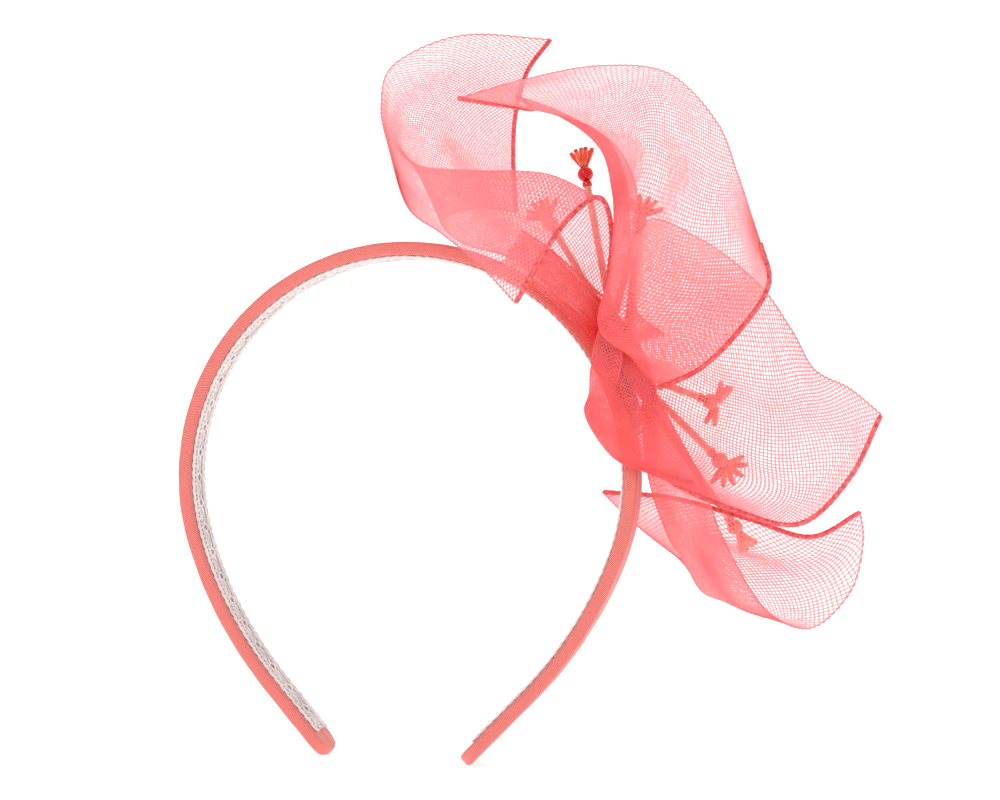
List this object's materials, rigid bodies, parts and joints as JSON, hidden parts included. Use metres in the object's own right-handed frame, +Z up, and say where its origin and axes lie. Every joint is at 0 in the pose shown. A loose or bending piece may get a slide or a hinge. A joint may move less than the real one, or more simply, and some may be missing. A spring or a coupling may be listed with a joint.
{
  "type": "fascinator headband",
  "caption": "U-shaped covered hair band with a braid lining, trimmed at one side with curled strips of open-weave crinoline with rolled ends and beaded wire stamens.",
  "frame": {"origin": "centre of the band's round crown, where the middle of the wearer's head is", "axes": "+Z up through the crown, +X towards the trimmed side, +Y along the head_grip axis, towards the back of the trim"},
  "size_m": [0.2037, 0.0879, 0.2141],
  "materials": {
    "band_plastic": "satin",
    "ribbon": "woven diagonal rib",
    "lining": "cotton gimp braid",
    "felt": "pressed felt",
    "crin": "open diagonal net of stiff threads",
    "hem": "rolled binding",
    "thread": "sewing thread",
    "wire": "fine wire",
    "glass_clear": "pale peach glass",
    "glass_red": "polished red glass",
    "glass_orange": "orange glass"
  },
  "bodies": {
    "trim_side": {"band_core_trim_side": "band_plastic", "base_felt": "felt", "crin_crown_arch": "crin", "crin_lower_loop": "crin", "crin_side_leaf": "crin", "crin_upper_loop": "crin", "gather_knot": "crin", "hem_arch_front": "hem", "hem_arch_tip": "hem", "hem_lower_loop": "hem", "hem_side_leaf": "hem", "hem_upper_leaf": "hem", "hem_upper_mouth": "hem", "lining_braid_trim_side": "lining", "ribbon_cover_trim_side": "ribbon", "stitch_1": "thread", "stitch_2": "thread", "stitch_3": "thread", "stitch_4": "thread"},
    "plain_side": {"band_core_plain_side": "band_plastic", "lining_braid_plain_side": "lining", "ribbon_cover_plain_side": "ribbon"},
    "stamen_1": {"stamen_1_bead": "glass_red", "stamen_1_collar": "glass_red", "stamen_1_fan": "glass_orange", "stamen_1_stem": "glass_clear", "stamen_1_wire": "wire"},
    "stamen_2": {"stamen_2_bead": "glass_red", "stamen_2_collar": "glass_red", "stamen_2_fan": "glass_orange", "stamen_2_stem": "glass_clear", "stamen_2_wire": "wire"},
    "stamen_3": {"stamen_3_bead": "glass_red", "stamen_3_collar": "glass_red", "stamen_3_fan": "glass_orange", "stamen_3_stem": "glass_clear", "stamen_3_wire": "wire"},
    "stamen_4": {"stamen_4_bead": "glass_red", "stamen_4_collar": "glass_red", "stamen_4_fan": "glass_orange", "stamen_4_stem": "glass_clear", "stamen_4_wire": "wire"},
    "stamen_5": {"stamen_5_bead": "glass_red", "stamen_5_collar": "glass_red", "stamen_5_fan": "glass_orange", "stamen_5_stem": "glass_clear", "stamen_5_wire": "wire"},
    "stamen_6": {"stamen_6_bead": "glass_red", "stamen_6_collar": "glass_red", "stamen_6_fan": "glass_orange", "stamen_6_stem": "glass_clear", "stamen_6_wire": "wire"}
  },
  "joints": [
    {"name": "band_flex", "type": "hinge", "parent": "trim_side", "child": "plain_side", "pos_m": [0, 0, 0.068], "axis": [0, 1, 0], "range_deg": [0, 15], "stiffness_Nm_per_rad": 0.8},
    {"name": "stamen_1_sway", "type": "hinge", "parent": "trim_side", "child": "stamen_1", "pos_m": [0.057, 0.009, 0.048], "axis": [0, 1, 0], "range_deg": [-2, 2], "stiffness_Nm_per_rad": 0.03},
    {"name": "stamen_2_sway", "type": "hinge", "parent": "trim_side", "child": "stamen_2", "pos_m": [0.056, 0.013, 0.047], "axis": [0, 1, 0], "range_deg": [-2, 2], "stiffness_Nm_per_rad": 0.03},
    {"name": "stamen_3_sway", "type": "hinge", "parent": "trim_side", "child": "stamen_3", "pos_m": [0.058, 0.006, 0.048], "axis": [0, 1, 0], "range_deg": [-2, 2], "stiffness_Nm_per_rad": 0.03},
    {"name": "stamen_4_sway", "type": "hinge", "parent": "trim_side", "child": "stamen_4", "pos_m": [0.069, 0.006, 0.031], "axis": [0, 1, 0], "range_deg": [-2, 2], "stiffness_Nm_per_rad": 0.03},
    {"name": "stamen_5_sway", "type": "hinge", "parent": "trim_side", "child": "stamen_5", "pos_m": [0.068, 0.009, 0.028], "axis": [0, 1, 0], "range_deg": [-2, 2], "stiffness_Nm_per_rad": 0.03},
    {"name": "stamen_6_sway", "type": "hinge", "parent": "trim_side", "child": "stamen_6", "pos_m": [0.067, 0.013, 0.025], "axis": [0, 1, 0], "range_deg": [-2, 2], "stiffness_Nm_per_rad": 0.03}
  ]
}
